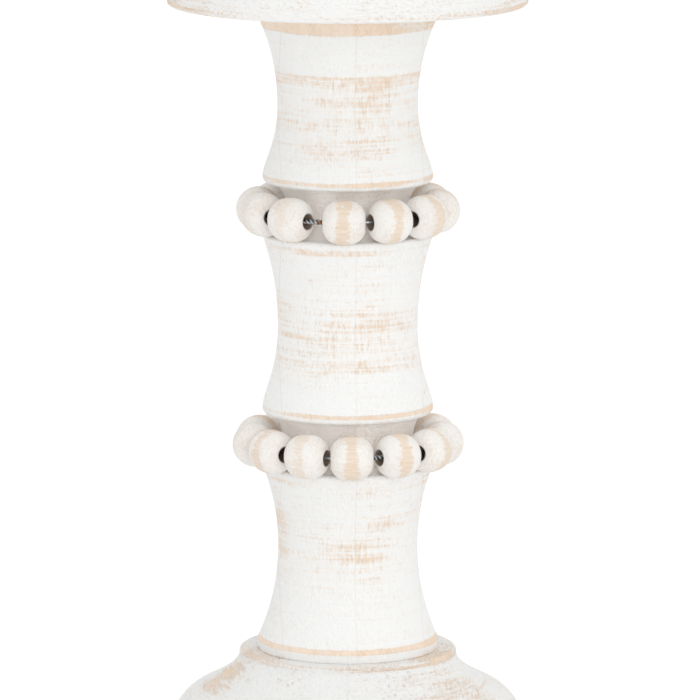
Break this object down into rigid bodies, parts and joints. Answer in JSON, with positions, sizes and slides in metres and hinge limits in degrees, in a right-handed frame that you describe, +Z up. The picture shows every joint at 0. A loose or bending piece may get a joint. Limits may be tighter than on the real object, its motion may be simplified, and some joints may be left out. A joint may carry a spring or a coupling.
{
  "type": "wooden candlestick",
  "caption": "Turned and whitewashed wooden candlestick with a dished plate for a pillar candle, a waisted shaft, a round bell foot and loose strands of wooden beads in its grooves.",
  "frame": {"origin": "middle of the felt underside that the candlestick stands on", "axes": "+Z up along the turning axis, -Y towards the front, where the upper wire's twist shows"},
  "size_m": [0.134, 0.134, 0.3001],
  "materials": {
    "whitewashed_wood": "chalky white wash, sanded back to tan wood along edges and turning lines",
    "whitewashed_bead": "matt white wash with a bare tan band round the middle",
    "bare_wood": "plain planed wood",
    "galvanised_wire": "galvanised soft iron wire",
    "zinc_plated_steel": "zinc plated",
    "wool_felt": "pale pressed felt"
  },
  "bodies": {
    "stand": {"felt_pad": "wool_felt", "base": "whitewashed_wood", "base_screw": "zinc_plated_steel", "screw_washer": "zinc_plated_steel", "turned_shaft": "whitewashed_wood", "plate_dowel": "bare_wood", "candle_plate": "whitewashed_wood"},
    "lower_strand": {"lower_wire": "galvanised_wire"},
    "upper_strand": {"upper_wire": "galvanised_wire"},
    "lower_bead_01": {"lower_bead_01": "whitewashed_bead"},
    "lower_bead_02": {"lower_bead_02": "whitewashed_bead"},
    "lower_bead_03": {"lower_bead_03": "whitewashed_bead"},
    "lower_bead_04": {"lower_bead_04": "whitewashed_bead"},
    "lower_bead_05": {"lower_bead_05": "whitewashed_bead"},
    "lower_bead_06": {"lower_bead_06": "whitewashed_bead"},
    "lower_bead_07": {"lower_bead_07": "whitewashed_bead"},
    "lower_bead_08": {"lower_bead_08": "whitewashed_bead"},
    "lower_bead_09": {"lower_bead_09": "whitewashed_bead"},
    "lower_bead_10": {"lower_bead_10": "whitewashed_bead"},
    "lower_bead_11": {"lower_bead_11": "whitewashed_bead"},
    "lower_bead_12": {"lower_bead_12": "whitewashed_bead"},
    "lower_bead_13": {"lower_bead_13": "whitewashed_bead"},
    "upper_bead_01": {"upper_bead_01": "whitewashed_bead"},
    "upper_bead_02": {"upper_bead_02": "whitewashed_bead"},
    "upper_bead_03": {"upper_bead_03": "whitewashed_bead"},
    "upper_bead_04": {"upper_bead_04": "whitewashed_bead"},
    "upper_bead_05": {"upper_bead_05": "whitewashed_bead"},
    "upper_bead_06": {"upper_bead_06": "whitewashed_bead"},
    "upper_bead_07": {"upper_bead_07": "whitewashed_bead"},
    "upper_bead_08": {"upper_bead_08": "whitewashed_bead"},
    "upper_bead_09": {"upper_bead_09": "whitewashed_bead"},
    "upper_bead_10": {"upper_bead_10": "whitewashed_bead"},
    "upper_bead_11": {"upper_bead_11": "whitewashed_bead"},
    "upper_bead_12": {"upper_bead_12": "whitewashed_bead"}
  },
  "joints": [
    {"name": "bead_ring_lower_turn", "type": "hinge", "parent": "stand", "child": "lower_strand", "pos_m": [0, 0, 0.12205], "axis": [0, 0, 1], "continuous": true},
    {"name": "bead_ring_upper_turn", "type": "hinge", "parent": "stand", "child": "upper_strand", "pos_m": [0, 0, 0.20504], "axis": [0, 0, 1], "continuous": true},
    {"name": "lower_bead_01_spin", "type": "hinge", "parent": "lower_strand", "child": "lower_bead_01", "pos_m": [0.01748, -0.02842, 0.12205], "axis": [0.8517, 0.524, 0], "continuous": true},
    {"name": "lower_bead_02_spin", "type": "hinge", "parent": "lower_strand", "child": "lower_bead_02", "pos_m": [0.02865, -0.0171, 0.12205], "axis": [0.5125, 0.8587, 0], "continuous": true},
    {"name": "lower_bead_03_spin", "type": "hinge", "parent": "lower_strand", "child": "lower_bead_03", "pos_m": [0.03331, -0.0019, 0.12205], "axis": [0.057, 0.9984, 0], "continuous": true},
    {"name": "lower_bead_04_spin", "type": "hinge", "parent": "lower_strand", "child": "lower_bead_04", "pos_m": [0.03041, 0.01373, 0.12205], "axis": [-0.4115, 0.9114, 0], "continuous": true},
    {"name": "lower_bead_05_spin", "type": "hinge", "parent": "lower_strand", "child": "lower_bead_05", "pos_m": [0.0206, 0.02625, 0.12205], "axis": [-0.7866, 0.6175, 0], "continuous": true},
    {"name": "lower_bead_06_spin", "type": "hinge", "parent": "lower_strand", "child": "lower_bead_06", "pos_m": [0.00612, 0.0328, 0.12205], "axis": [-0.983, 0.1834, 0], "continuous": true},
    {"name": "lower_bead_07_spin", "type": "hinge", "parent": "lower_strand", "child": "lower_bead_07", "pos_m": [-0.00976, 0.03191, 0.12205], "axis": [-0.9563, -0.2924, 0], "continuous": true},
    {"name": "lower_bead_08_spin", "type": "hinge", "parent": "lower_strand", "child": "lower_bead_08", "pos_m": [-0.02342, 0.02377, 0.12205], "axis": [-0.7124, -0.7017, 0], "continuous": true},
    {"name": "lower_bead_09_spin", "type": "hinge", "parent": "lower_strand", "child": "lower_bead_09", "pos_m": [-0.03176, 0.01024, 0.12205], "axis": [-0.3068, -0.9518, 0], "continuous": true},
    {"name": "lower_bead_10_spin", "type": "hinge", "parent": "lower_strand", "child": "lower_bead_10", "pos_m": [-0.03289, -0.00562, 0.12205], "axis": [0.1685, -0.9857, 0], "continuous": true},
    {"name": "lower_bead_11_spin", "type": "hinge", "parent": "lower_strand", "child": "lower_bead_11", "pos_m": [-0.02656, -0.02021, 0.12205], "axis": [0.6055, -0.7958, 0], "continuous": true},
    {"name": "lower_bead_12_spin", "type": "hinge", "parent": "lower_strand", "child": "lower_bead_12", "pos_m": [-0.01419, -0.0302, 0.12205], "axis": [0.9051, -0.4253, 0], "continuous": true},
    {"name": "lower_bead_13_spin", "type": "hinge", "parent": "lower_strand", "child": "lower_bead_13", "pos_m": [0.0014, -0.03334, 0.12205], "axis": [0.9991, 0.0419, 0], "continuous": true},
    {"name": "upper_bead_01_spin", "type": "hinge", "parent": "upper_strand", "child": "upper_bead_01", "pos_m": [-0.00122, -0.03185, 0.20504], "axis": [0.9993, -0.0384, 0], "continuous": true},
    {"name": "upper_bead_02_spin", "type": "hinge", "parent": "upper_strand", "child": "upper_bead_02", "pos_m": [0.01459, -0.02834, 0.20504], "axis": [0.8891, 0.4578, 0], "continuous": true},
    {"name": "upper_bead_03_spin", "type": "hinge", "parent": "upper_strand", "child": "upper_bead_03", "pos_m": [0.02664, -0.0175, 0.20504], "axis": [0.5492, 0.8357, 0], "continuous": true},
    {"name": "upper_bead_04_spin", "type": "hinge", "parent": "upper_strand", "child": "upper_bead_04", "pos_m": [0.0318, -0.00215, 0.20504], "axis": [0.0674, 0.9977, 0], "continuous": true},
    {"name": "upper_bead_05_spin", "type": "hinge", "parent": "upper_strand", "child": "upper_bead_05", "pos_m": [0.02875, 0.01376, 0.20504], "axis": [-0.4318, 0.902, 0], "continuous": true},
    {"name": "upper_bead_06_spin", "type": "hinge", "parent": "upper_strand", "child": "upper_bead_06", "pos_m": [0.01827, 0.02612, 0.20504], "axis": [-0.8194, 0.5732, 0], "continuous": true},
    {"name": "upper_bead_07_spin", "type": "hinge", "parent": "upper_strand", "child": "upper_bead_07", "pos_m": [0.00307, 0.03172, 0.20504], "axis": [-0.9954, 0.0963, 0], "continuous": true},
    {"name": "upper_bead_08_spin", "type": "hinge", "parent": "upper_strand", "child": "upper_bead_08", "pos_m": [-0.01292, 0.02914, 0.20504], "axis": [-0.9141, -0.4054, 0], "continuous": true},
    {"name": "upper_bead_09_spin", "type": "hinge", "parent": "upper_strand", "child": "upper_bead_09", "pos_m": [-0.02558, 0.01902, 0.20504], "axis": [-0.5967, -0.8024, 0], "continuous": true},
    {"name": "upper_bead_10_spin", "type": "hinge", "parent": "upper_strand", "child": "upper_bead_10", "pos_m": [-0.03162, 0.00399, 0.20504], "axis": [-0.1252, -0.9921, 0], "continuous": true},
    {"name": "upper_bead_11_spin", "type": "hinge", "parent": "upper_strand", "child": "upper_bead_11", "pos_m": [-0.0295, -0.01207, 0.20504], "axis": [0.3787, -0.9255, 0], "continuous": true},
    {"name": "upper_bead_12_spin", "type": "hinge", "parent": "upper_strand", "child": "upper_bead_12", "pos_m": [-0.01975, -0.02501, 0.20504], "axis": [0.7848, -0.6198, 0], "continuous": true}
  ]
}
